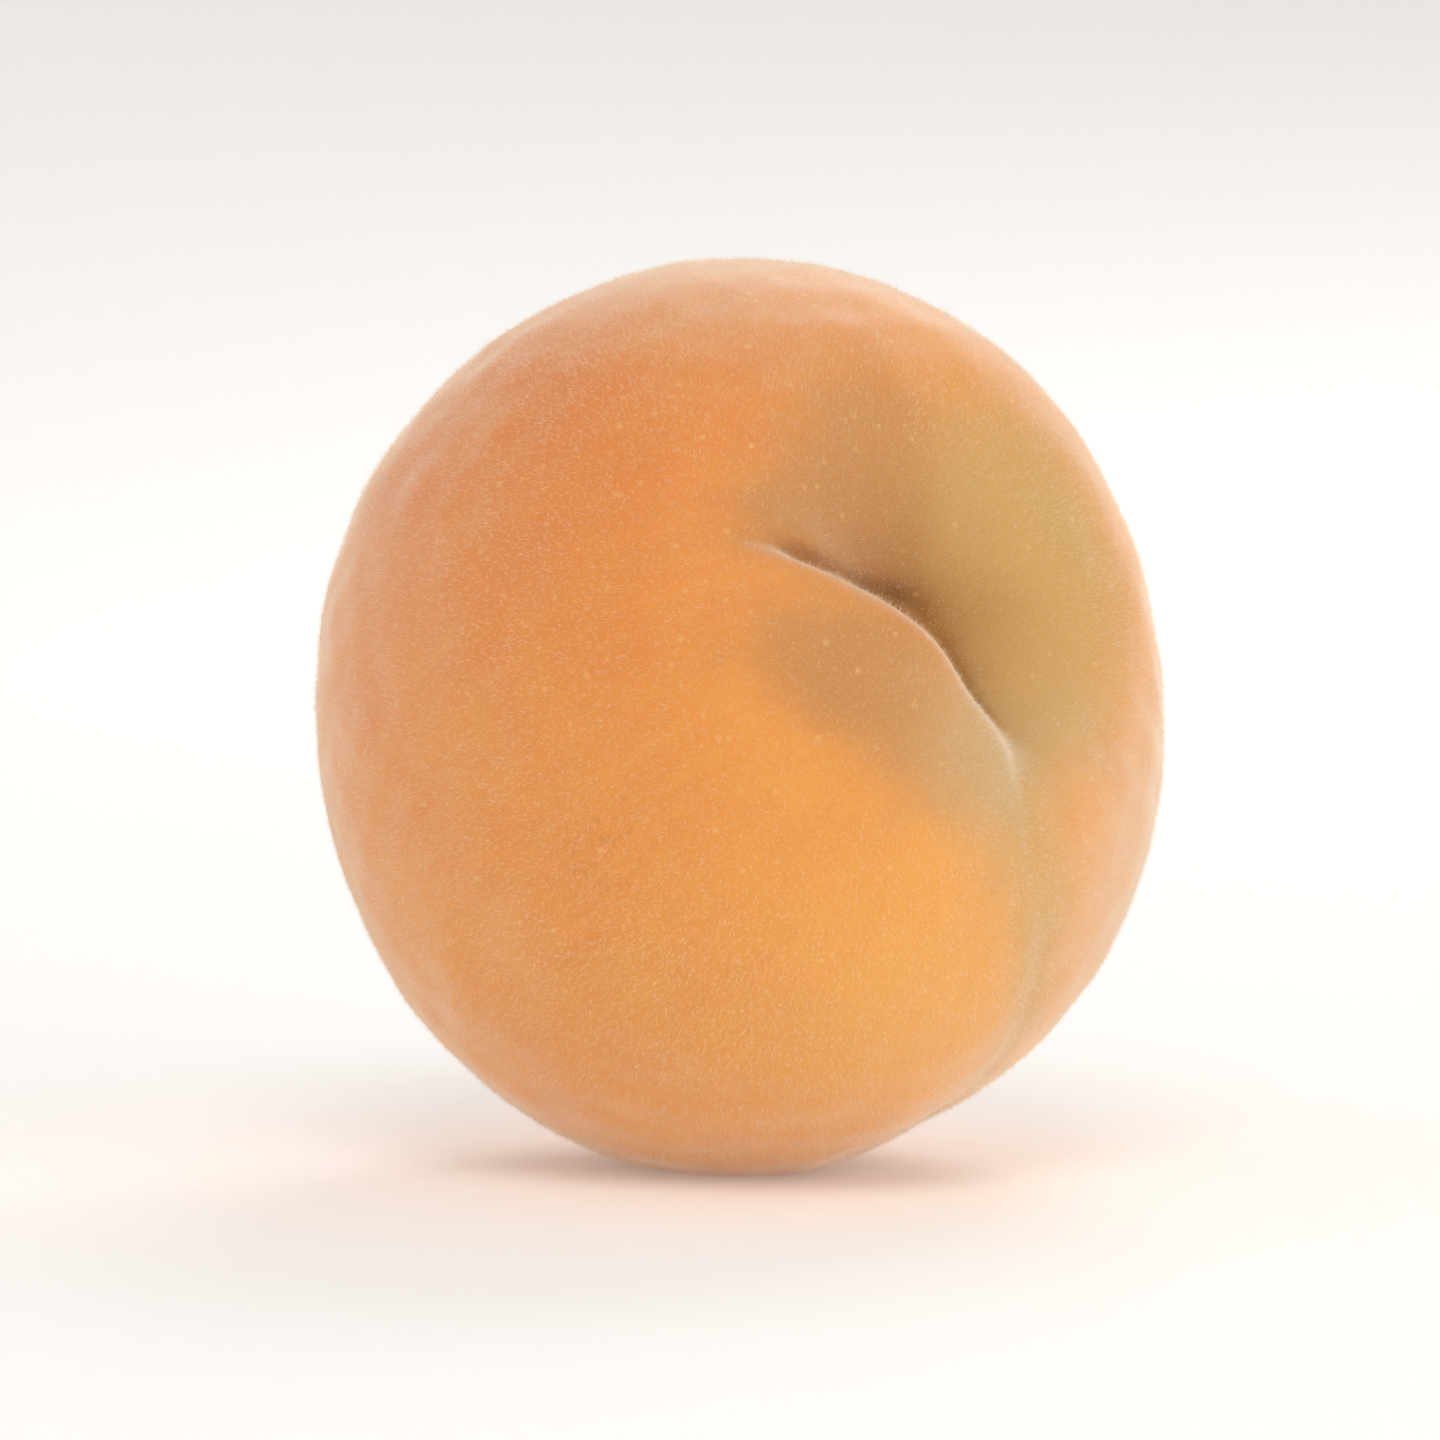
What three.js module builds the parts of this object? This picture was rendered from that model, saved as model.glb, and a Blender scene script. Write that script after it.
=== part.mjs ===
// A whole yellow cling peach, resting on its side as it would on a table: one solid fruit with a funnel-shaped
// stem hollow, a suture that runs from the hollow to the tip, and a small flat spot where it rests.
//
// Millimetres, +Z up. The origin is on the resting surface, in the middle of the flat spot.
// The fruit is first shaped upright in its own frame, with the stem end at +Z and the suture on the +X side,
// and is then turned and lowered onto its flat spot.
//
// A point of the skin is found from two angles, in radians:
//   polar    0 in the middle of the stem hollow, PI at the tip
//   azimuth  0 on the suture, PI on the back, negative on the near cheek

import * as THREE from "three";

const { degToRad, smoothstep } = THREE.MathUtils;

// ---- Size of the fruit, before the hollows are pressed in ----
const STEM_TO_TIP = 60.9;
const SUTURE_TO_BACK = 66.4;
const CHEEK_TO_CHEEK = 58.4;
const TAPER = 0.02; // how much wider the stem half is than the tip half, as a share
const FULLNESS = 0.045; // how much fuller than an ellipse the shoulders are, as a share

// ---- Stem hollow: a wide dish with a funnel in it, longer along the near lip than across it ----
const DISH = { depth: 3, alongSuture: 12.5, alongCheeks: 12.5 };
const FUNNEL = { depth: 9, spread: 5.4, power: 1.4, roundedBottom: 1.4, side: -3 };
const FUNNEL_STRETCH = { back: 2, front: 1.35, change: 2 };
const LOBES = 0.05; // how far from round the hollow is, as a share of its width

// ---- Near lip: the shoulder of the near cheek bulges over the hollow, along a bowed line with one wave in it ----
// The line is b = offset - bow * (a - middle)^2 less the wave, where a runs along it and b across it into the hollow.
const LIP = { turn: 38, offset: -7.3, bow: 0.016, middle: -4 };
const LIP_WAVE = { by: 1, at: 3, spread: 3.5 };
const LIP_WALL = { top: -3, foot: 3.6 }; // where the wall behind the lip starts and ends, across the line
const LIP_SWELL = { height: 1, across: -4, acrossSpread: 4, along: -2, alongSpread: 8 };
const FOLD = { depth: 2.2, across: 1.4, acrossSpread: 1.6, along: -7.5, alongSpread: 6.3 };

// ---- Suture: a broad valley with a fine crease along its middle, deepest at both ends ----
const VALLEY = { depth: 0.4, atStem: 0.2, atTip: 0.8, spread: 5 };
const CREASE = { depth: 0.12, atStem: 0.05, atTip: 0.5, spread: 1.15 };
const STEM_END = { at: 0.52, spread: 0.4 };
const TIP_END = { at: 2.85, spread: 0.3 };
const CHEEK_RISE = { share: 0.3, across: 11.5, spread: 6 }; // the cheeks swell beside the valley
const NOTCH = { depth: 0.7, spread: 2.8 }; // where the suture cuts the hollow's rim
const NOTCH_PLACE = { at: 0.36, spread: 0.16 };
// How far the line strays from a plane, in mm towards the far cheek.
const WANDER = [
  { by: -3.2, at: 0.55, spread: 0.32 },
  { by: 2.8, at: 2.05, spread: 0.5 },
];

// ---- Tip: a small point in a shallow dimple ----
const TIP_DIMPLE = { depth: 0.9, spread: 0.17 };
const TIP_POINT = { height: 1.1, spread: 0.05 };

// ---- Slow unevenness: height in mm, lobes round the axis, phase, and power of sin(polar) ----
const SWELLS = [
  [0.8, 2, 1.5, 2],
  [0.3, 3, 2.1, 3],
  [0.18, 5, 0.5, 4],
];
const FAR_SHOULDER = { height: 1.3, polar: 43, azimuth: 116, spread: 0.5 };

// ---- How it lies ----
const STEM_HEADING = 42; // degrees to the right of straight at a viewer who looks along +Y
const STEM_ELEVATION = 25; // degrees above level
const SUTURE_ROLL = 9; // degrees that the suture is turned from hanging straight down
const FLAT_TO_CENTRE = new THREE.Vector3(0.9, 1.25, 32.85);

// ---- Mesh: the rings crowd towards the stem, the columns towards the suture and the fold ----
const COLUMNS = 96;
const RINGS = 56;
const crowdRings = (even) => even - 0.1 * Math.sin(2 * even) - 0.44 * Math.sin(even);
const crowdColumns = (even) => even - 0.5 * Math.sin(even + 0.9);

/** A bell that is 1 at 0 and 0.37 at the spread. */
const bell = (x, spread) => Math.exp(-((x / spread) ** 2));

/** Height in mm that the suture adds at a point: swollen cheeks less the valley, the crease and the rim's notch. */
function sutureRelief(polar, x, y) {
  const nearStem = bell(polar - STEM_END.at, STEM_END.spread);
  const nearTip = bell(polar - TIP_END.at, TIP_END.spread);
  const depthOf = (groove) => groove.depth + groove.atStem * nearStem + groove.atTip * nearTip;
  const strayed = WANDER.reduce((sum, { by, at, spread }) => sum + by * bell(polar - at, spread), 0);
  const across = y - strayed;
  const valley = depthOf(VALLEY);
  const swell = CHEEK_RISE.share * valley * bell(Math.abs(across) - CHEEK_RISE.across, CHEEK_RISE.spread);
  const groove =
    valley * bell(across, VALLEY.spread) +
    depthOf(CREASE) * bell(across, CREASE.spread) +
    NOTCH.depth * bell(polar - NOTCH_PLACE.at, NOTCH_PLACE.spread) * bell(across, NOTCH.spread);
  return smoothstep(x, -3, 4) * (swell - groove);
}

/** Height in mm of the small point in its dimple at the tip. */
function tipRelief(polar) {
  const fromTip = Math.PI - polar;
  return TIP_POINT.height * bell(fromTip, TIP_POINT.spread) - TIP_DIMPLE.depth * bell(fromTip, TIP_DIMPLE.spread);
}

/** Height in mm of the slow swells that keep the fruit from being a perfect egg. */
function unevenness(polar, azimuth) {
  const [p, a] = [degToRad(FAR_SHOULDER.polar), degToRad(FAR_SHOULDER.azimuth)];
  const cosFromFar = Math.cos(polar) * Math.cos(p) + Math.sin(polar) * Math.sin(p) * Math.cos(azimuth - a);
  const farShoulder = FAR_SHOULDER.height * Math.exp((-2 * (1 - cosFromFar)) / FAR_SHOULDER.spread ** 2);
  return SWELLS.reduce(
    (sum, [height, lobes, phase, power]) =>
      sum + height * Math.cos(lobes * azimuth + phase) * Math.sin(polar) ** power,
    farShoulder,
  );
}

/** Depth in mm of the stem hollow, measured down the fruit's axis. */
function stemHollow(azimuth, x, y, z) {
  const lobes = Math.cos(2 * azimuth + 0.4) + 0.6 * Math.cos(5 * azimuth + 1.2);
  const lobed = 1 + LOBES * lobes * smoothstep(Math.hypot(x, y), 0, 6);
  const dish = DISH.depth * bell(Math.hypot(x / DISH.alongSuture, y / DISH.alongCheeks), lobed);

  const turn = degToRad(LIP.turn);
  const along = x * Math.cos(turn) + y * Math.sin(turn);
  const sideways = y * Math.cos(turn) - x * Math.sin(turn);
  const bowed = LIP.bow * (along - LIP.middle) ** 2 + LIP_WAVE.by * bell(along - LIP_WAVE.at, LIP_WAVE.spread);
  const across = sideways - LIP.offset + bowed;

  const { back, front, change } = FUNNEL_STRETCH;
  const stretch = front + (back - front) / (1 + Math.exp(along / change));
  const fromMiddle = Math.hypot(along / stretch, sideways - FUNNEL.side, FUNNEL.roundedBottom);
  const funnel = FUNNEL.depth * Math.exp(-((fromMiddle / (FUNNEL.spread * lobed)) ** FUNNEL.power));

  const behindLip = smoothstep(across, LIP_WALL.top, LIP_WALL.foot);
  const fold =
    FOLD.depth * bell(across - FOLD.across, FOLD.acrossSpread) * bell(along - FOLD.along, FOLD.alongSpread);
  const swell =
    LIP_SWELL.height *
    bell(across - LIP_SWELL.across, LIP_SWELL.acrossSpread) *
    bell(along - LIP_SWELL.along, LIP_SWELL.alongSpread);

  const onStemHalf = smoothstep(z, 0, 12);
  return onStemHalf * ((dish + funnel) * behindLip + fold - swell);
}

/** A point of the skin in the fruit's own frame. */
function skinPoint(polar, azimuth) {
  const full = 1 + FULLNESS * Math.sin(2 * polar) ** 2;
  const girth = Math.sin(polar) * (1 + TAPER * Math.cos(polar)) * full;
  const x = (SUTURE_TO_BACK / 2) * girth * Math.cos(azimuth);
  const y = (CHEEK_TO_CHEEK / 2) * girth * Math.sin(azimuth);
  const z = (STEM_TO_TIP / 2) * Math.cos(polar) * full;
  const relief = sutureRelief(polar, x, y) + tipRelief(polar) + unevenness(polar, azimuth);
  const point = new THREE.Vector3(x, y, z).multiplyScalar(1 + relief / Math.hypot(x, y, z));
  point.z -= stemHollow(azimuth, x, y, z);
  return point;
}

/** The turn that takes the upright fruit to the way it lies. */
function lyingTurn() {
  const spin = new THREE.Matrix4().makeRotationZ(degToRad(SUTURE_ROLL));
  const lean = new THREE.Matrix4().makeRotationY(degToRad(90 - STEM_ELEVATION));
  const face = new THREE.Matrix4().makeRotationZ(degToRad(STEM_HEADING - 90));
  return face.multiply(lean).multiply(spin);
}

/**
 * The fruit's surface: a sphere's grid of rings and columns with each vertex moved to its point of the skin.
 * What would sink below the resting surface is pressed flat against it.
 */
function fruitGeometry() {
  const geometry = new THREE.SphereGeometry(1, COLUMNS, RINGS);
  const { position, uv } = geometry.attributes;
  const turn = lyingTurn();
  for (let i = 0; i < position.count; i++) {
    const polar = crowdRings(Math.PI * (1 - uv.getY(i)));
    const azimuth = crowdColumns(2 * Math.PI * (uv.getX(i) - 0.5));
    const point = skinPoint(polar, azimuth).applyMatrix4(turn).add(FLAT_TO_CENTRE);
    position.setXYZ(i, point.x, point.y, Math.max(0, point.z));
  }
  geometry.computeVertexNormals();
  return geometry;
}

const skin = new THREE.MeshStandardMaterial({ color: "#e29a4c", roughness: 0.62, metalness: 0 });

const peach = new THREE.Mesh(fruitGeometry(), skin);
peach.name = "peach";

const fruit = new THREE.Group();
fruit.add(peach);

export default fruit;
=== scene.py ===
"""A yellow peach resting on its side: its skin, its down and the studio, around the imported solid.

The fruit is shaped in millimetres in its own upright frame (stem end at +Z, suture on the +X side), with the
same formula as the solid, and is then turned, lowered onto its flat spot and scaled to metres.

Angles on the fruit: polar is 0 in the middle of the stem hollow and pi at the tip; azimuth is 0 on the
suture, pi on the back and negative on the near cheek.
"""

import bpy
import numpy as np
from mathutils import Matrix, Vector


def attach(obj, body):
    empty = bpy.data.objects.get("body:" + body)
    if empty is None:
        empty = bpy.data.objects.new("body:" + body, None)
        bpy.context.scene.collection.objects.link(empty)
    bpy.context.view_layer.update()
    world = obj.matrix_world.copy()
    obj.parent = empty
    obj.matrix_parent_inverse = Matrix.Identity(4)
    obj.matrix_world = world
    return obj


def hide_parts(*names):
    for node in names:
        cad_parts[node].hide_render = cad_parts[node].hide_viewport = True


MM = 0.001

# ---- Form of the fruit, in mm, the same as the solid's but for a sharper fold ----
STEM_TO_TIP = 60.9
SUTURE_TO_BACK = 66.4
CHEEK_TO_CHEEK = 58.4
TAPER = 0.02  # how much wider the stem half is than the tip half, as a share
FULLNESS = 0.045  # how much fuller than an ellipse the shoulders are, as a share
STEM_HALF = (0.0, 12.0)  # the heights up the axis where the stem hollow's relief starts and is whole

DISH = dict(depth=3.0, along_suture=12.5, along_cheeks=12.5)
FUNNEL = dict(depth=9.0, spread=5.4, power=1.4, rounded_bottom=1.4, side=-3.0)
FUNNEL_STRETCH = dict(back=2.0, front=1.35, change=2.0)
LOBES = dict(share=0.05, waves=((1.0, 2, 0.4), (0.6, 5, 1.2)), whole_at=6.0)  # waves: share, number, phase

# The near lip's line, and bells beside it: their middle and spread across it, into the hollow, and along it.
LIP = dict(turn=38.0, offset=-7.3, bow=0.016, middle=-4.0)
LIP_WAVE = dict(by=1.0, at=3.0, spread=3.5)
LIP_WALL = dict(top=-3.0, foot=3.6)
LIP_SWELL = dict(height=1.0, across=-4.0, across_spread=4.0, along=-2.0, along_spread=8.0)
FOLD = dict(depth=2.4, across=1.4, across_spread=1.25, along=-7.5, along_spread=6.3)

VALLEY = dict(depth=0.4, at_stem=0.2, at_tip=0.8, spread=5.0)
CREASE = dict(depth=0.12, at_stem=0.05, at_tip=0.5, spread=1.15)
STEM_END = dict(at=0.52, spread=0.4)
TIP_END = dict(at=2.85, spread=0.3)
CHEEK_RISE = dict(share=0.3, across=11.5, spread=6.0)
NOTCH = dict(depth=0.7, spread=2.8, at=0.36, at_spread=0.16)
WANDER = ((-3.2, 0.55, 0.32), (2.8, 2.05, 0.5))  # bends of the suture: mm aside, polar, spread
SUTURE_SIDE = (-3.0, 4.0)  # the x where the suture's relief starts and is whole

TIP_DIMPLE = dict(depth=0.9, spread=0.17)
TIP_POINT = dict(height=1.1, spread=0.05)
SWELLS = ((0.8, 2, 1.5, 2), (0.3, 3, 2.1, 3), (0.18, 5, 0.5, 4))  # height, lobes, phase, power of sin(polar)
FAR_SHOULDER = dict(height=1.3, polar=43.0, azimuth=116.0, spread=0.5)

# ---- How it lies: degrees, and mm from the flat spot to the fruit's middle ----
STEM_HEADING = 42.0
STEM_ELEVATION = 25.0
SUTURE_ROLL = 9.0
FLAT_TO_CENTRE = np.array((0.9, 1.25, 32.85))
SETTLE = 0.35  # how softly the skin turns from round to flat at the resting surface

# ---- Finer relief than the solid has, in mm ----
SCAR = dict(x=2.8, y=-2.8, radius=1.9, rim=0.3, rim_width=0.4, dish=0.4, dish_spread=1.33)
WRINKLE = dict(start=0.9, rise=7.4, middle=2.2, back_spread=9.9, front_spread=5.2, depth=0.4, width=0.5)
WRINKLE_ENDS = dict(back=(-15.0, -11.0), front=(7.0, 10.0))
DIMPLING = dict(waves=60, shortest=3.5, longest=12.0, height=0.012, seed=11)

# ---- Where the colours go ----
# Patches on the fruit: strength, polar and azimuth of the middle in degrees, and spread.
PATCHES = dict(
    flush=((0.45, 95, -135, 0.85), (0.25, 50, -150, 0.6), (0.4, 100, 150, 0.5)),
    gold=((0.9, 58, -26, 0.5), (0.5, 110, 60, 0.8)),
    # Cream is painted light: a pale highlight on top, where light falls from above, and a painted pale
    # reflection on the far shoulder.
    painted_highlight=((1.0, 48, 28, 0.42), (0.6, 52, -172, 0.45)),
    rubbed=((1.0, 86, 70, 0.16), (1.0, 104, 148, 0.2), (1.0, 125, -120, 0.14), (0.8, 70, -75, 0.12)),
)
# Ovals on the stem half, in mm as seen down the fruit's axis: strength, x, y, stretch along x, and spread.
OVALS = dict(
    olive=(  # on the hollow's far wall, beside the near lip's front end, and beside the suture's mouth
        (1.0, -1.0, 7.0, 1.35, 9.5),
        (0.35, 12.0, -8.5, 1.0, 6.5),
        (0.4, 11.0, 4.0, 1.0, 5.5),
    ),
    # Partly the skin's own duller ochre and partly painted shade round the hollow.
    ochre_and_shade=(  # on the hollow's back, at the near lip's back end, and beside its front end
        (1.0, -8.0, -3.0, 1.25, 9.0),
        (0.5, -8.0, -14.0, 1.0, 4.5),
        (0.3, 12.0, -8.5, 1.0, 6.5),
    ),
    tan=((0.65, 12.5, 2.5, 1.0, 6.0),),  # in the suture's mouth
    cork=((1.0, SCAR["x"], SCAR["y"], 1.0, 2.375),),  # on the scar
)
# Bands beside the near lip's line, in mm.
LIP_BANDS = dict(
    # On the lip: partly the skin's own duller ochre and partly painted shade.
    ochre_and_shade=dict(strength=0.85, across=-6.8, across_spread=5.3, along=-4.5, along_spread=9.5),  # on the lip
    tan=dict(strength=0.9, across=-5.0, across_spread=5.3, along=5.5, along_spread=9.0),  # at its front end
    # Painted shade behind the near lip, where the hollow falls away from it.
    shade=dict(strength=0.42, across=2.4, across_spread=2.4, along=0.0, along_spread=10.5),  # behind it
)
# Along the suture: it comes in between two places on x, and fades by a share between two polar angles.
OLIVE_SUTURE = dict(strength=0.65, spread=4.5, side=(2.0, 14.0), fade=0.8, fades=(0.8, 2.2))
# Painted shade in the hollow: on its wrinkle, and with its depth: strength, and the mm where the painted
# shade starts and is whole.
WRINKLE_SHADE = dict(strength=0.35, width=0.9)
DEPTH_SHADES = ((0.55, 4.5, 10.0), (0.15, 2.0, 6.0))
# Streaks: mm of pattern for a radian round the fruit, and for one from stem to tip.
STREAKS = dict(round=22.0, down=2.4)

# ---- Meshes ----
COLUMNS = 420
RINGS = 232
CROWDING = dict(ends=0.12, stem=0.22, suture=0.5, turn=0.9)
SAMPLE_CELLS = (240, 360)
HAIRS = 194_000
SHELTER = dict(suture=0.5, suture_spread=2.5, stem=0.4, stem_spread=0.35)  # how much denser the down is there
HAIR = dict(shortest=0.22, longest=0.55, few_long=1.4, width=0.019, sink=0.04, comb=0.4, stray=0.6, seed=5)
HAIR_CLEARANCE = dict(root=0.9, tip=0.1)  # lowest a hair may start and end above the resting surface, in mm

# ---- Studio, in metres, watts and degrees ----
TARGET = Vector((0.0, 0.0, 0.033))
CAMERA = dict(lens=180, sensor=36, distance=0.53, rise=4.0, nearest=0.01)
SWEEP = dict(level=(0.05, 0.2, 0.4, 0.65), radius=1.5, turns=128, arc=40)
WORLD_STRENGTH = 0.5
LIGHTS = (  # name, place, size, watts, tint
    ("key", (0.0, -0.9, 1.0), 0.6, 4.6, "#FFFAF4"),
    ("fill", (0.7, -0.7, 0.4), 0.5, 1.6, "#FFFFFF"),
    ("back", (0.25, 0.8, 0.7), 0.5, 3.0, "#FFFFFF"),
)


def bell(x, spread):
    """1 at 0 and 0.37 at the spread: e to the power of minus (x / spread) squared."""
    return np.exp(-((x / spread) ** 2))


def smoothstep(x, low, high):
    """0 below low, 1 above high, and 3 s^2 - 2 s^3 between them."""
    s = np.clip((x - low) / (high - low), 0, 1)
    return s * s * (3 - 2 * s)


def unit(vectors):
    """Vectors scaled to length 1."""
    return vectors / np.maximum(np.linalg.norm(vectors, axis=-1, keepdims=True), 1e-12)


# ---- The fruit's form ----


def off_suture(polar, y):
    """How far a point lies across the suture's wandering line, in mm: y less the sum of the line's bends."""
    return y - sum(by * bell(polar - at, spread) for by, at, spread in WANDER)


def suture_relief(polar, x, y):
    """Cheeks that swell beside the suture, less its valley, its crease and the notch in the hollow's rim."""
    near_stem = bell(polar - STEM_END["at"], STEM_END["spread"])
    near_tip = bell(polar - TIP_END["at"], TIP_END["spread"])
    valley, crease = (
        groove["depth"] + groove["at_stem"] * near_stem + groove["at_tip"] * near_tip
        for groove in (VALLEY, CREASE)
    )
    across = off_suture(polar, y)
    swell = CHEEK_RISE["share"] * valley * bell(np.abs(across) - CHEEK_RISE["across"], CHEEK_RISE["spread"])
    notch = NOTCH["depth"] * bell(polar - NOTCH["at"], NOTCH["at_spread"]) * bell(across, NOTCH["spread"])
    grooves = valley * bell(across, VALLEY["spread"]) + crease * bell(across, CREASE["spread"]) + notch
    return smoothstep(x, *SUTURE_SIDE) * (swell - grooves)


def tip_relief(polar):
    """A small point in a shallow dimple: one bell up and a wider one down, round the tip."""
    point, dimple = (bell(np.pi - polar, form["spread"]) for form in (TIP_POINT, TIP_DIMPLE))
    return TIP_POINT["height"] * point - TIP_DIMPLE["depth"] * dimple


def direction(polar, azimuth):
    """The unit vector at two angles on the fruit."""
    return np.stack((np.sin(polar) * np.cos(azimuth), np.sin(polar) * np.sin(azimuth), np.cos(polar)), -1)


def patch(polar, azimuth, at_polar, at_azimuth, spread):
    """A bell round a direction, given in degrees: e to the power of minus (chord / spread) squared."""
    along = direction(polar, azimuth) @ direction(*np.radians((at_polar, at_azimuth)))
    return np.exp(-2 * (1 - along) / spread**2)


def unevenness(polar, azimuth):
    """A bell on the far shoulder plus waves round the axis, each fading to nothing at both ends."""
    shoulder = patch(polar, azimuth, FAR_SHOULDER["polar"], FAR_SHOULDER["azimuth"], FAR_SHOULDER["spread"])
    waves = sum(height * np.cos(n * azimuth + at) * np.sin(polar) ** power for height, n, at, power in SWELLS)
    return FAR_SHOULDER["height"] * shoulder + waves


def lip_coordinates(x, y):
    """Where a point lies along the near lip and off to the side of the axis, and how far it is into the
    hollow from the lip's line, which is a parabola with one wave in it."""
    turn = np.radians(LIP["turn"])
    along = x * np.cos(turn) + y * np.sin(turn)
    sideways = y * np.cos(turn) - x * np.sin(turn)
    bow = LIP["bow"] * (along - LIP["middle"]) ** 2
    wave = LIP_WAVE["by"] * bell(along - LIP_WAVE["at"], LIP_WAVE["spread"])
    return along, sideways, sideways - LIP["offset"] + bow + wave


def lip_band(along, across, band):
    """A band beside the near lip's line: a bell across it times a bell along it."""
    return bell(across - band["across"], band["across_spread"]) * bell(
        along - band["along"], band["along_spread"]
    )


def stem_hollow(azimuth, x, y, z):
    """Depth down the axis: a dish and a funnel that end at the wall behind the near lip, and a fold, less the
    lip's swell.

    The dish is a bell with slight lobes. The funnel is e to the power of minus a power of the distance from
    its axis, which is stretched along the lip, more at the back than at the front. Fold and swell are bands.
    """
    lobes = sum(share * np.cos(n * azimuth + at) for share, n, at in LOBES["waves"])
    lobed = 1 + LOBES["share"] * lobes * smoothstep(np.hypot(x, y), 0, LOBES["whole_at"])
    dish = DISH["depth"] * bell(np.hypot(x / DISH["along_suture"], y / DISH["along_cheeks"]), lobed)
    along, sideways, across = lip_coordinates(x, y)
    back, front, change = (FUNNEL_STRETCH[end] for end in ("back", "front", "change"))
    stretch = front + (back - front) / (1 + np.exp(along / change))
    aside = sideways - FUNNEL["side"]
    from_axis = np.sqrt((along / stretch) ** 2 + aside**2 + FUNNEL["rounded_bottom"] ** 2)
    funnel = FUNNEL["depth"] * np.exp(-((from_axis / (FUNNEL["spread"] * lobed)) ** FUNNEL["power"]))
    behind_lip = smoothstep(across, LIP_WALL["top"], LIP_WALL["foot"])
    fold = FOLD["depth"] * lip_band(along, across, FOLD)
    swell = LIP_SWELL["height"] * lip_band(along, across, LIP_SWELL)
    return smoothstep(z, *STEM_HALF) * ((dish + funnel) * behind_lip + fold - swell)


def stem_scar(x, y, z):
    """Height of the corky scar at the hollow's bottom: a ring-shaped rim round a small dish."""
    out = np.hypot(x - SCAR["x"], y - SCAR["y"])
    rim = SCAR["rim"] * bell(out - SCAR["radius"], SCAR["rim_width"])
    return np.where(z > 0, rim - SCAR["dish"] * bell(out, SCAR["dish_spread"]), 0)


def wrinkle(along, across, width):
    """1 on the wrinkle where the hollow's far wall starts: a bell across a line that bows away from the near
    lip, longer at the back than at the front, and that fades out at both ends."""
    from_middle = along - WRINKLE["middle"]
    spread = np.where(from_middle < 0, WRINKLE["back_spread"], WRINKLE["front_spread"])
    line = WRINKLE["start"] + WRINKLE["rise"] * bell(from_middle, spread)
    ends = smoothstep(along, *WRINKLE_ENDS["back"]) * (1 - smoothstep(along, *WRINKLE_ENDS["front"]))
    return bell(across - line, width) * ends


def dimpling(points):
    """Height of faint dimples: a sum of cosines of the place along seeded directions and wavelengths."""
    rng = np.random.default_rng(DIMPLING["seed"])
    waves = unit(rng.normal(size=(DIMPLING["waves"], 3)))
    lengths = rng.uniform(DIMPLING["shortest"], DIMPLING["longest"], DIMPLING["waves"])
    phases = rng.uniform(0, 2 * np.pi, DIMPLING["waves"])
    turns = 2 * np.pi / lengths[:, None] * waves
    return DIMPLING["height"] * np.cos(points @ turns.T + phases).sum(-1)


def bare_body(polar, azimuth):
    """X, y and z of the fruit before any relief: an ellipsoid with full shoulders and a slight taper."""
    full = 1 + FULLNESS * np.sin(2 * polar) ** 2
    girth = np.sin(polar) * (1 + TAPER * np.cos(polar)) * full
    x = SUTURE_TO_BACK / 2 * girth * np.cos(azimuth)
    y = CHEEK_TO_CHEEK / 2 * girth * np.sin(azimuth)
    return x, y, STEM_TO_TIP / 2 * np.cos(polar) * full


def skin_points(polar, azimuth):
    """The skin in the fruit's own frame: the bare body moved out by its relief, and down its axis by the
    hollow and the wrinkle in it."""
    x, y, z = bare_body(polar, azimuth)
    points = np.stack((x, y, z), -1)
    relief = suture_relief(polar, x, y) + tip_relief(polar) + unevenness(polar, azimuth) + dimpling(points)
    points *= (1 + relief / np.linalg.norm(points, axis=-1))[..., None]
    along, _, across = lip_coordinates(x, y)
    groove = WRINKLE["depth"] * wrinkle(along, across, WRINKLE["width"]) * smoothstep(z, *STEM_HALF)
    points[..., 2] += stem_scar(x, y, z) - stem_hollow(azimuth, x, y, z) - groove
    return points


def lying_axes():
    """The fruit's own X, Y and Z as rows in the object's frame: Z leans and turns, and X hangs, turned a
    little about Z."""
    heading, rise, roll = np.radians((STEM_HEADING, STEM_ELEVATION, SUTURE_ROLL))
    stem = np.array((np.sin(heading) * np.cos(rise), -np.cos(heading) * np.cos(rise), np.sin(rise)))
    hanging = np.array((0.0, 0.0, -1.0)) + stem * stem[2]
    hanging /= np.linalg.norm(hanging)
    suture = hanging * np.cos(roll) + np.cross(stem, hanging) * np.sin(roll)
    return np.stack((suture, np.cross(stem, suture), stem))


def laid(points):
    """Fruit frame in mm to the object's frame in metres, with what would sink under the floor eased flat.

    Height z becomes (z + the root of (z^2 + settle^2)) / 2, less what that adds higher up, settle^2 / (4 z).
    """
    lying = points @ lying_axes() + FLAT_TO_CENTRE
    z = lying[..., 2]
    lying[..., 2] = (z + np.sqrt(z * z + SETTLE**2)) / 2 - SETTLE**2 / (4 * np.maximum(z, SETTLE))
    lying[..., 2] = np.maximum(lying[..., 2], 0)
    return lying * MM


# ---- Meshes from arrays ----


def grid_faces(rings, columns, closed=True):
    """Triangles between a pole, rings of columns that wrap round and, on a closed shape, another pole.

    They face outwards where the rings run down from a pole at the top.
    """
    j = np.arange(columns)
    after = (j + 1) % columns
    above = 1 + np.arange(rings - 1)[:, None] * columns
    a, b, c, d = (above + k for k in (j, after, columns + j, columns + after))
    faces = [
        np.stack((np.zeros_like(j), 1 + j, 1 + after), -1),
        np.stack((a, c, b), -1).reshape(-1, 3),
        np.stack((b, c, d), -1).reshape(-1, 3),
    ]
    if closed:
        last = 1 + (rings - 1) * columns
        faces.append(np.stack((np.full_like(j, last + columns), last + after, last + j), -1))
    return np.concatenate(faces)


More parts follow.
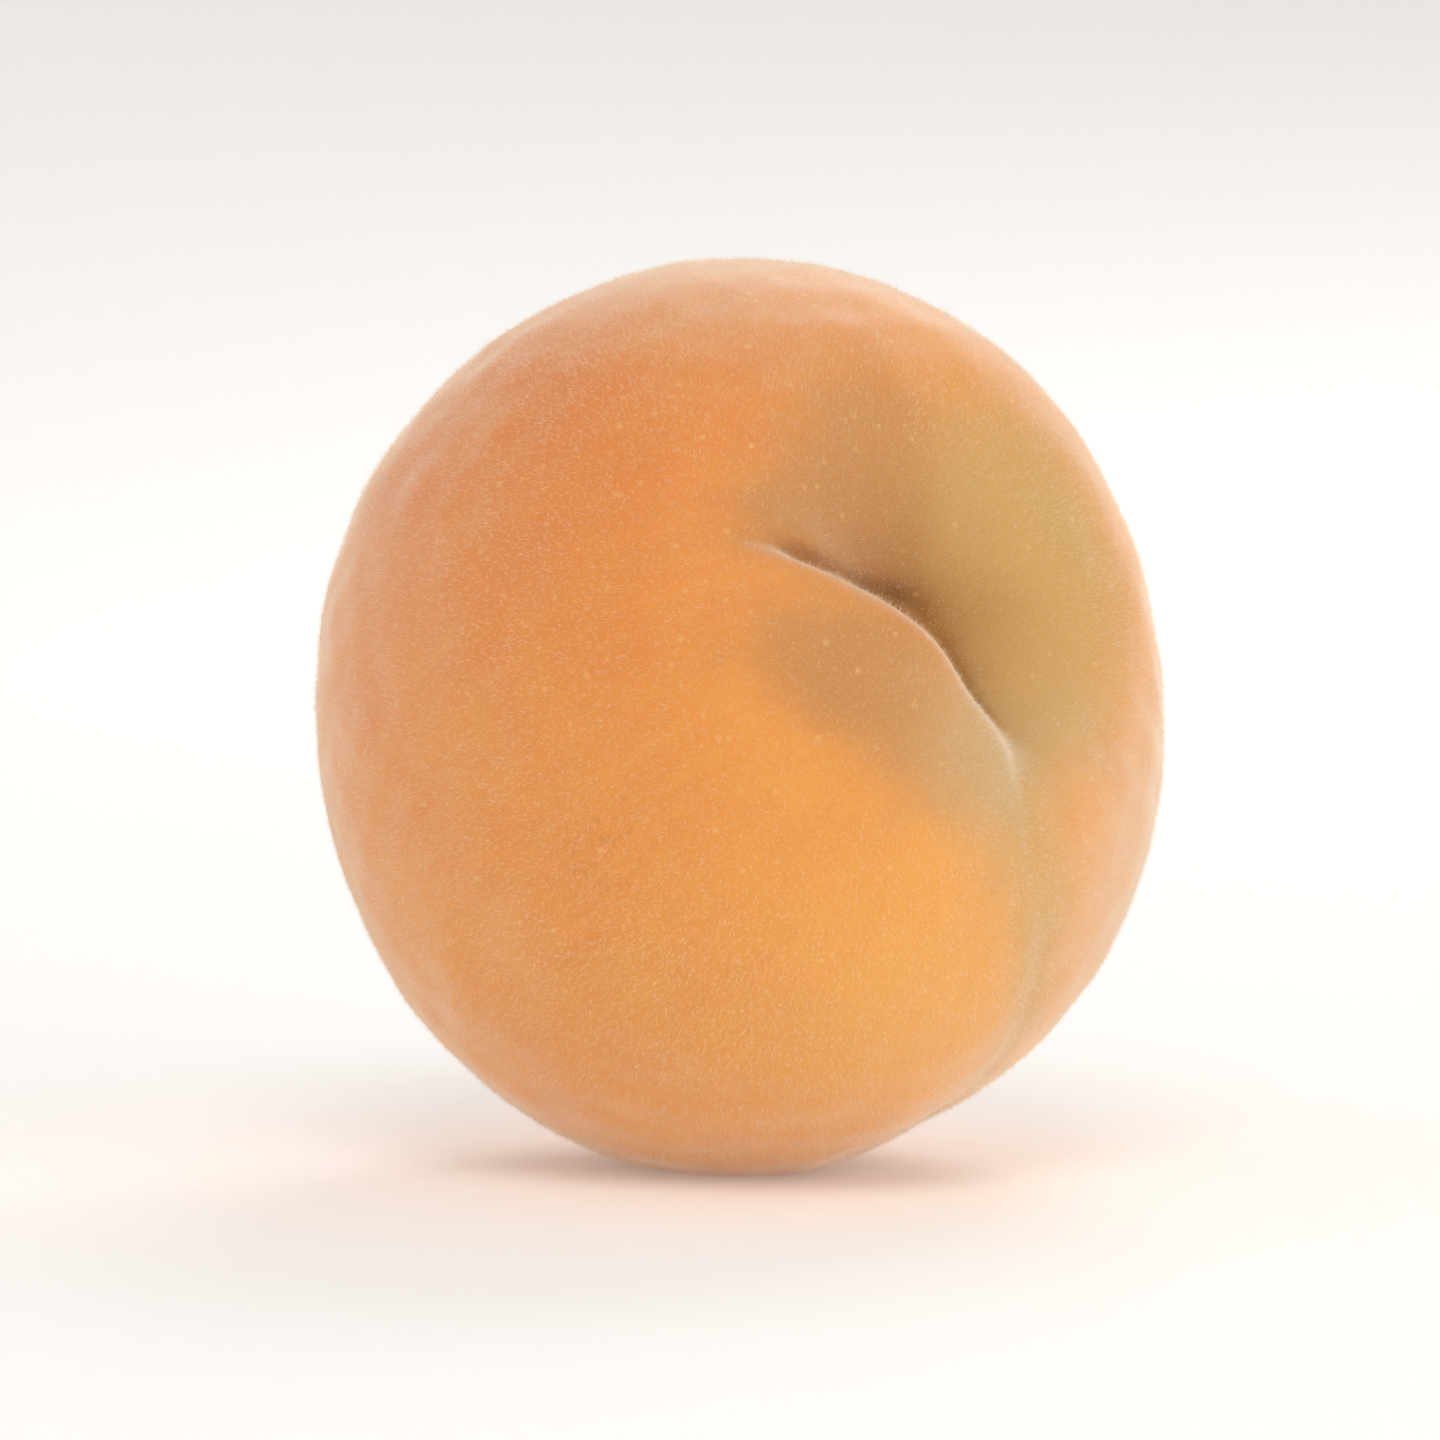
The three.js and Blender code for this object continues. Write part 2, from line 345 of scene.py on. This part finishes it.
def new_piece(name, vertices, faces, material, smooth=True):
    """A mesh object at the origin from arrays of points in metres and of triangles."""
    mesh = bpy.data.meshes.new(name)
    mesh.vertices.add(len(vertices))
    mesh.vertices.foreach_set("co", np.ascontiguousarray(vertices, np.float32).ravel())
    mesh.loops.add(faces.size)
    mesh.loops.foreach_set("vertex_index", np.ascontiguousarray(faces, np.int32).ravel())
    mesh.polygons.add(len(faces))
    mesh.polygons.foreach_set("loop_start", np.arange(0, faces.size, 3, dtype=np.int32))
    mesh.update(calc_edges=True)
    mesh.polygons.foreach_set("use_smooth", np.full(len(faces), smooth))
    mesh.materials.append(material)
    piece = bpy.data.objects.new(name, mesh)
    bpy.context.scene.collection.objects.link(piece)
    return piece


def add_values(piece, name, values):
    """Keeps one number or one vector for each vertex under a name that a material can read."""
    kind, field = ("FLOAT", "value") if values.ndim == 1 else ("FLOAT_VECTOR", "vector")
    attribute = piece.data.attributes.new(name, kind, "POINT")
    attribute.data.foreach_set(field, np.ascontiguousarray(values, np.float32).ravel())


# ---- Materials ----
# Sockets by number: a mix of colours takes 0 amount, 6 first and 7 second and gives 2; a range takes 0 value,
# 1 and 2 from, 3 and 4 to; MULTIPLY_ADD gives socket 0 times socket 1, plus socket 2.

MIX, MATH, RANGE, NOISE = "ShaderNodeMix", "ShaderNodeMath", "ShaderNodeMapRange", "ShaderNodeTexNoise"


def colour(code):
    """sRGB hex to linear RGBA."""
    parts = np.array([int(code[i : i + 2], 16) for i in (1, 3, 5)]) / 255
    linear = np.where(parts <= 0.04045, parts / 12.92, ((parts + 0.055) / 1.055) ** 2.4)
    return (*linear.tolist(), 1.0)


def add(tree, kind, inputs=(), out=0, **settings):
    """Adds a node: settings are its attributes, and inputs are sockets to link from, hex colours or values.

    Gives back the chosen output, to link on from.
    """
    node = tree.nodes.new(kind)
    for key, value in settings.items():
        setattr(node, key, value)
    for key, value in dict(inputs).items():
        if isinstance(value, bpy.types.NodeSocket):
            tree.links.new(value, node.inputs[key])
        else:
            is_hex = isinstance(value, str) and value.startswith("#")
            node.inputs[key].default_value = colour(value) if is_hex else value
    return node.outputs[out] if node.outputs else node


def new_material(name):
    """An empty material and its tree."""
    material = bpy.data.materials.new(name)
    material.use_nodes = True
    material.node_tree.nodes.clear()
    return material, material.node_tree


def peach_skin():
    """Ripe peach skin: waxy and translucent under its down, so light sinks in and comes out warm and soft.

    Golden ground with amber flushes and faint streaks from stem to tip. Olive where the sun did not reach, in
    and round the stem hollow and along the top of the suture; dusky ochre on the hollow's back and near lip,
    partly the skin's own duller tint and partly painted shade; tan from the lip's front end to the suture; a
    painted highlight on top and a painted pale reflection on the far shoulder; painted shade, in brown, deep
    in the hollow. Tiny pale pores, a few faint tan rubs, and a corky brown stem scar.
    """
    material, tree = new_material("peach_skin")
    place = add(tree, "ShaderNodeTexCoord", out="Object")
    olive, ochre_and_shade, tan, shade, flush, gold, painted_highlight, rubbed, cork = (
        add(tree, "ShaderNodeAttribute", out="Fac", attribute_name=name)
        for name in ("olive", "ochre_and_shade", "tan", "shade", "flush", "gold", "painted_highlight", "rubbed", "cork")
    )
    along_fruit = add(tree, "ShaderNodeAttribute", out="Vector", attribute_name="streak_place")

    # Clouds 8 mm across, a mottle of 1.7 mm and a grain of 0.42 mm, and streaks.
    cloud, mottle, grain = (
        add(tree, NOISE, {"Vector": place, "Scale": 1 / (mm * MM), "Detail": detail, "Roughness": 0.58})
        for mm, detail in ((8.0, 3.0), (1.7, 3.0), (0.42, 2.0))
    )
    streak = add(tree, NOISE, {"Vector": along_fruit, "Scale": 1 / MM, "Detail": 4.0, "Roughness": 0.65})

    # Ground: gold, with amber in clouds and streaks where the sun reached, and paler gold where it did not.
    warm = add(tree, MATH, {0: cloud, 1: 0.6, 2: flush}, operation="MULTIPLY_ADD")
    warm = add(tree, MATH, {0: streak, 1: 0.45, 2: warm}, operation="MULTIPLY_ADD")
    warm = add(tree, RANGE, {0: warm, 1: 0.45, 2: 1.45})
    ground = add(tree, MIX, {0: warm, 6: "#E59B47", 7: "#D9763A"}, 2, data_type="RGBA")
    paler = add(tree, MATH, {0: mottle, 1: 0.5, 2: gold}, operation="MULTIPLY_ADD")
    paler = add(tree, RANGE, {0: paler, 1: 0.3, 2: 1.3, 4: 0.8})
    ground = add(tree, MIX, {0: paler, 6: ground, 7: "#EFB05A"}, 2, data_type="RGBA")

    # Dusky ochre on the hollow's back and its near lip, partly the skin's own duller tint and partly painted
    # shade; olive on its far wall and along the suture, and tan from the lip's front end to the suture, all
    # with ragged edges; then a painted highlight on top and a painted pale reflection on the far shoulder, in
    # softer patches.
    ragged = add(tree, MATH, {0: mottle, 1: 0.35, 2: cloud}, operation="MULTIPLY_ADD")
    for pattern, tint, most in ((ochre_and_shade, "#BE884F", 0.8), (olive, "#C7A25F", 0.85), (tan, "#C9A675", 0.6)):
        amount = add(tree, MATH, {0: ragged, 1: 0.45, 2: pattern}, operation="MULTIPLY_ADD")
        amount = add(tree, RANGE, {0: amount, 1: 0.45, 2: 1.2, 4: most}, interpolation_type="SMOOTHSTEP")
        ground = add(tree, MIX, {0: amount, 6: ground, 7: tint}, 2, data_type="RGBA")
    # A painted highlight on top and a painted pale reflection on the far shoulder, in cream.
    painted_highlight_amount = add(tree, MATH, {0: mottle, 1: 0.4, 2: painted_highlight}, operation="MULTIPLY_ADD")
    painted_highlight_amount = add(tree, RANGE, {0: painted_highlight_amount, 1: 0.3, 2: 1.2, 4: 0.6}, interpolation_type="SMOOTHSTEP")
    ground = add(tree, MIX, {0: painted_highlight_amount, 6: ground, 7: "#E6BC94"}, 2, data_type="RGBA")

    # Painted shade: brown where the hollow is deep, behind its near lip and in its wrinkle, stronger and
    # weaker in clouds.
    broken = add(tree, RANGE, {0: ragged, 1: 0.45, 2: 0.85, 3: 0.4, 4: 1.0})
    painted_shade_amount = add(tree, MATH, {0: shade, 1: broken}, operation="MULTIPLY")
    ground = add(tree, MIX, {0: painted_shade_amount, 6: ground, 7: "#8F5F2C"}, 2, data_type="RGBA")

    # Pores: pale dots 0.2 to 0.3 mm across, some 2 mm apart.
    spread_out = {"Vector": place, "Scale": 1 / (2.0 * MM), "Randomness": 1.0}
    pore = add(tree, "ShaderNodeTexVoronoi", spread_out, "Distance", feature="F1")
    pore = add(tree, RANGE, {0: pore, 1: 0.06, 2: 0.17, 3: 0.25, 4: 0.0}, interpolation_type="SMOOTHSTEP")
    ground = add(tree, MIX, {0: pore, 6: ground, 7: "#F4CB88"}, 2, data_type="RGBA")

    # Rubs, as faint flecks of dry tan, and the stem scar, of brown cork.
    fleck = add(tree, RANGE, {0: grain, 1: 0.5, 2: 0.75, 4: 0.45}, interpolation_type="SMOOTHSTEP")
    rub = add(tree, MATH, {0: fleck, 1: rubbed}, operation="MULTIPLY")
    ground = add(tree, MIX, {0: rub, 6: ground, 7: "#A9713C"}, 2, data_type="RGBA")
    bark = add(tree, MATH, {0: mottle, 1: 0.35, 2: cork}, operation="MULTIPLY_ADD")
    bark = add(tree, RANGE, {0: bark, 1: 0.45, 2: 1.0, 4: 0.85}, interpolation_type="SMOOTHSTEP")
    corky = add(tree, MIX, {0: grain, 6: "#8A6138", 7: "#C09A68"}, 2, data_type="RGBA")
    ground = add(tree, MIX, {0: bark, 6: ground, 7: corky}, 2, data_type="RGBA")

    # Relief: the mottle with some grain on it and the pores sunk in.
    height = add(tree, MATH, {0: grain, 1: 0.4, 2: mottle}, operation="MULTIPLY_ADD")
    height = add(tree, MATH, {0: pore, 1: -1.5, 2: height}, operation="MULTIPLY_ADD")
    finish = {
        "Base Color": ground,
        "Roughness": add(tree, RANGE, {0: cloud, 1: 0.3, 2: 0.7, 3: 0.5, 4: 0.62}),
        "Normal": add(tree, "ShaderNodeBump", {"Strength": 0.35, "Distance": 0.15 * MM, "Height": height}),
        "Subsurface Weight": 0.35,
        "Subsurface Radius": (1.0, 0.42, 0.14),
        "Subsurface Scale": 2.0 * MM,
        "IOR": 1.42,
        "Specular IOR Level": 0.35,
        "Sheen Weight": 0.9,
        "Sheen Roughness": 0.45,
        "Sheen Tint": "#FFF6EA",
    }
    shader = add(tree, "ShaderNodeBsdfPrincipled", finish, subsurface_method="RANDOM_WALK")
    add(tree, "ShaderNodeOutputMaterial", {"Surface": shader})
    return material


def peach_down():
    """Peach down: short hollow hairs, nearly white, that scatter light and veil the skin where it turns away.

    Its tint drifts over 3 mm, so the down looks a little warmer in some tufts than in others.
    """
    material, tree = new_material("peach_down")
    place = add(tree, "ShaderNodeTexCoord", out="Object")
    tuft = add(tree, NOISE, {"Vector": place, "Scale": 1 / (3 * MM), "Detail": 2.0})
    finish = {
        "Base Color": add(tree, MIX, {0: tuft, 6: "#F2DAB4", 7: "#FCF0DF"}, 2, data_type="RGBA"),
        "Roughness": 0.7,
        "Specular IOR Level": 0.25,
        "Sheen Weight": 0.5,
        "Sheen Roughness": 0.5,
    }
    add(tree, "ShaderNodeOutputMaterial", {"Surface": add(tree, "ShaderNodeBsdfPrincipled", finish)})
    return material


def opal_acrylic():
    """A sweep of opal acrylic, sanded matt and lit from behind: nearly white, with faint cloudiness."""
    material, tree = new_material("opal_acrylic")
    place = add(tree, "ShaderNodeTexCoord", out="Object")
    clouding = add(tree, NOISE, {"Vector": place, "Scale": 1 / (2.5 * MM), "Detail": 4.0})
    finish = {
        "Base Color": add(tree, MIX, {0: clouding, 6: "#EFEDEA", 7: "#F5F3F1"}, 2, data_type="RGBA"),
        "Roughness": 0.9,
        "Specular IOR Level": 0.1,
        "Emission Color": "#FFFFFF",
        "Emission Strength": 0.16,
    }
    add(tree, "ShaderNodeOutputMaterial", {"Surface": add(tree, "ShaderNodeBsdfPrincipled", finish)})
    return material


# ---- The skin ----


def skin_grid():
    """Polar and azimuth of each vertex: rings crowd towards both ends, most at the stem, and columns towards
    the suture and the fold. Each angle is an even one less sines of it."""
    even = np.linspace(0, np.pi, RINGS + 1)
    polar = even - CROWDING["ends"] * np.sin(2 * even) - CROWDING["stem"] * np.sin(even)
    even = np.linspace(-np.pi, np.pi, COLUMNS, endpoint=False)
    azimuth = even - CROWDING["suture"] * np.sin(even + CROWDING["turn"])
    inner_polar, inner_azimuth = np.meshgrid(polar[1:-1], azimuth, indexing="ij")
    return np.r_[0.0, inner_polar.ravel(), np.pi], np.r_[0.0, inner_azimuth.ravel(), 0.0]


def oval(x, y, at_x, at_y, stretch, spread):
    """A bell round a point as seen down the fruit's axis, stretched along x."""
    return bell(np.hypot((x - at_x) / stretch, y - at_y), spread)


def skin_patterns(polar, azimuth):
    """Where the colours go, each from 0 to 1, and a place for the streaks.

    Each is the sum of its patches, ovals and band, times their strengths. Olive also gets a bell across
    the suture that fades away from the stem, and the painted shade gets the wrinkle and steps of the hollow's
    depth. The place for streaks is a circle by azimuth that climbs slowly with polar.
    """
    x, y, z = bare_body(polar, azimuth)
    along, _, across = lip_coordinates(x, y)
    stem_half = z > 0
    patterns = {
        name: sum(strength * patch(polar, azimuth, *spot) for strength, *spot in spots)
        for name, spots in PATCHES.items()
    }
    for name, spots in OVALS.items():
        patterns[name] = sum(strength * oval(x, y, *spot) for strength, *spot in spots) * stem_half
    for name, band in LIP_BANDS.items():
        on_band = band["strength"] * lip_band(along, across, band) * stem_half
        patterns[name] = patterns.get(name, 0) + on_band

    beside_suture = bell(off_suture(polar, y), OLIVE_SUTURE["spread"]) * smoothstep(x, *OLIVE_SUTURE["side"])
    fading = 1 - OLIVE_SUTURE["fade"] * smoothstep(polar, *OLIVE_SUTURE["fades"])
    patterns["olive"] += OLIVE_SUTURE["strength"] * beside_suture * fading
    # Painted shade that grows with the hollow's depth and along its wrinkle.
    depth = stem_hollow(azimuth, x, y, z)
    deep = sum(strength * smoothstep(depth, start, whole) for strength, start, whole in DEPTH_SHADES)
    in_wrinkle = WRINKLE_SHADE["strength"] * wrinkle(along, across, WRINKLE_SHADE["width"])
    patterns["shade"] += (deep + in_wrinkle) * stem_half

    round_fruit = np.stack((np.cos(azimuth), np.sin(azimuth)), -1) * STREAKS["round"]
    streak_place = np.c_[round_fruit, polar * STREAKS["down"]] * MM
    return {name: np.clip(values, 0, 1) for name, values in patterns.items()}, streak_place


def make_skin(material):
    """The fruit's skin as one closed surface, with the patterns that its material reads."""
    polar, azimuth = skin_grid()
    points, faces = laid(skin_points(polar, azimuth)), grid_faces(RINGS - 1, COLUMNS)
    skin = new_piece("peach_skin", points, faces, material)
    patterns, streak_place = skin_patterns(polar, azimuth)
    for name, values in patterns.items():
        add_values(skin, name, values)
    add_values(skin, "streak_place", streak_place)
    return skin


# ---- The down ----


def surface_samples(rng, count):
    """Seeded places on the skin: polar and azimuth, drawn from a coarse grid's cells by their area, with more
    in the shelter of the suture and of the stem hollow."""
    polar = np.linspace(0, np.pi, SAMPLE_CELLS[0] + 1)
    azimuth = np.linspace(-np.pi, np.pi, SAMPLE_CELLS[1] + 1)
    p, a = np.meshgrid(polar, azimuth, indexing="ij")
    grid = laid(skin_points(p, a)) / MM
    corner, below, beside = grid[:-1, :-1], grid[1:, :-1], grid[:-1, 1:]
    area = np.linalg.norm(np.cross(below - corner, beside - corner), axis=-1)

    middle, start = (polar[:-1, None] + polar[1:, None]) / 2, azimuth[None, :-1]
    across = off_suture(middle, CHEEK_TO_CHEEK / 2 * np.sin(middle) * np.sin(start))
    by_suture = SHELTER["suture"] * bell(across, SHELTER["suture_spread"]) * (np.cos(start) > 0)
    in_hollow = SHELTER["stem"] * bell(middle, SHELTER["stem_spread"])
    weight = (area * (1 + by_suture + in_hollow)).ravel()

    picked = rng.choice(weight.size, count, p=weight / weight.sum())
    row, column = np.divmod(picked, SAMPLE_CELLS[1])
    return (
        polar[row] + rng.random(count) * (polar[1] - polar[0]),
        azimuth[column] + rng.random(count) * (azimuth[1] - azimuth[0]),
    )


def make_down(material):
    """Hairs as closed three-sided spikes: three corners round the root and one at the tip.

    A hair's way is the skin's normal, plus a share of the way down to the fruit's tip, plus a seeded stray.
    Its length goes from shortest to longest with a power of a seeded number. There are none on the resting
    spot. They are shared out between four pieces by azimuth.
    """
    rng = np.random.default_rng(HAIR["seed"])
    polar, azimuth = surface_samples(rng, HAIRS)
    step = 0.004  # radians, for the skin's two tangents
    root = laid(skin_points(polar, azimuth))
    down_polar = laid(skin_points(polar + step, azimuth)) - root
    along_azimuth = laid(skin_points(polar, azimuth + step)) - root
    normal = unit(np.cross(down_polar, along_azimuth))
    comb = unit(down_polar)
    side = np.cross(normal, comb)
    stray = rng.normal(size=(HAIRS, 2)) * HAIR["stray"]
    way = unit(normal + comb * (HAIR["comb"] + stray[:, :1]) + side * stray[:, 1:])
    share = rng.random(HAIRS) ** HAIR["few_long"]
    length = (HAIR["shortest"] + (HAIR["longest"] - HAIR["shortest"]) * share) * MM
    keep = (root[:, 2] > HAIR_CLEARANCE["root"] * MM) & np.isfinite(way).all(-1)
    keep &= root[:, 2] + way[:, 2] * length > HAIR_CLEARANCE["tip"] * MM
    root, way, length, azimuth = root[keep], way[keep], length[keep], azimuth[keep]

    # Two directions across the hair, and the three corners of its root a third of a turn apart.
    first = unit(np.cross(way, comb[keep] + 0.3 * side[keep]))
    second = np.cross(way, first)
    turn = rng.random(len(root)) * 2 * np.pi
    half = HAIR["width"] / 2 * MM
    base = root - way * HAIR["sink"] * MM
    corners = [
        base + half * (np.cos(turn + k)[:, None] * first + np.sin(turn + k)[:, None] * second)
        for k in (0, 2 * np.pi / 3, 4 * np.pi / 3)
    ]
    spikes = np.stack((*corners, root + way * length[:, None]), 1)
    faces = np.array(((0, 1, 3), (1, 2, 3), (2, 0, 3), (0, 2, 1)))
    order = np.argsort(azimuth, kind="stable")
    names = ("down_back_near", "down_suture_near", "down_suture_far", "down_back_far")
    pieces = []
    for name, hairs in zip(names, np.array_split(order, len(names))):
        vertices = spikes[hairs].reshape(-1, 3)
        triangles = (faces[None] + 4 * np.arange(len(hairs))[:, None, None]).reshape(-1, 3)
        pieces.append(new_piece(name, vertices, triangles, material, smooth=False))
    return pieces


# ---- The studio ----


def make_backdrop(material):
    """A round sweep: its profile is level, then a quarter circle up to a wall, turned once round Z."""
    arc = np.linspace(0, np.pi / 2, SWEEP["arc"])[1:]
    out = np.r_[SWEEP["level"], SWEEP["level"][-1] + SWEEP["radius"] * np.sin(arc)]
    height = np.r_[np.zeros(len(SWEEP["level"])), SWEEP["radius"] * (1 - np.cos(arc))]
    turns = np.linspace(0, 2 * np.pi, SWEEP["turns"], endpoint=False)
    x, y = np.outer(out, np.cos(turns)), np.outer(out, np.sin(turns))
    z = np.broadcast_to(height[:, None], x.shape)
    vertices = np.r_[[[0.0, 0.0, 0.0]], np.stack((x, y, z), -1).reshape(-1, 3)]
    faces = grid_faces(len(out), SWEEP["turns"], closed=False)[:, ::-1]  # they face inwards, to the fruit
    return new_piece("backdrop", vertices, faces, material)


def add_light(name, place, size, watts, tint):
    """A square soft box that faces the middle of the fruit."""
    lamp = bpy.data.lights.new(name, "AREA")
    lamp.size = size
    lamp.energy = watts
    lamp.color = colour(tint)[:3]
    light = bpy.data.objects.new(name, lamp)
    bpy.context.scene.collection.objects.link(light)
    light.location = place
    light.rotation_euler = (TARGET - Vector(place)).to_track_quat("-Z", "Y").to_euler()


def make_studio():
    """Soft light from a big box above the front, a fill on the right and one behind, and white all round."""
    scene = bpy.context.scene
    make_backdrop(opal_acrylic())
    world = bpy.data.worlds.new("studio")
    world.use_nodes = True
    background = world.node_tree.nodes["Background"]
    background.inputs["Color"].default_value = colour("#FFFFFF")
    background.inputs["Strength"].default_value = WORLD_STRENGTH
    scene.world = world
    for light in LIGHTS:
        add_light(*light)
    scene.view_settings.view_transform = "Standard"


def make_camera():
    """A long lens at the fruit's own height, looking along +Y and a little down."""
    lens = bpy.data.cameras.new("camera")
    lens.lens = CAMERA["lens"]
    lens.sensor_width = CAMERA["sensor"]
    lens.clip_start = CAMERA["nearest"]
    camera = bpy.data.objects.new("camera", lens)
    bpy.context.scene.collection.objects.link(camera)
    rise = np.radians(CAMERA["rise"])
    camera.location = TARGET + CAMERA["distance"] * Vector((0.0, -np.cos(rise), np.sin(rise)))
    camera.rotation_euler = (TARGET - camera.location).to_track_quat("-Z", "Y").to_euler()
    bpy.context.scene.camera = camera


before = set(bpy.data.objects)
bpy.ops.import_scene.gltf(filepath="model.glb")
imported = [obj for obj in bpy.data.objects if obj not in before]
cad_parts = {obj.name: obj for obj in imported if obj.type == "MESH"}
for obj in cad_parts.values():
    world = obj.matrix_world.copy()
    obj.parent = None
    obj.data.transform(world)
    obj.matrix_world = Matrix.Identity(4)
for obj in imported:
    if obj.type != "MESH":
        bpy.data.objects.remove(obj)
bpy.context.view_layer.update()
make_camera()

skin = make_skin(peach_skin())
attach(skin, "root")
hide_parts("peach")

for piece in make_down(peach_down()):
    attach(piece, "root")

make_studio()
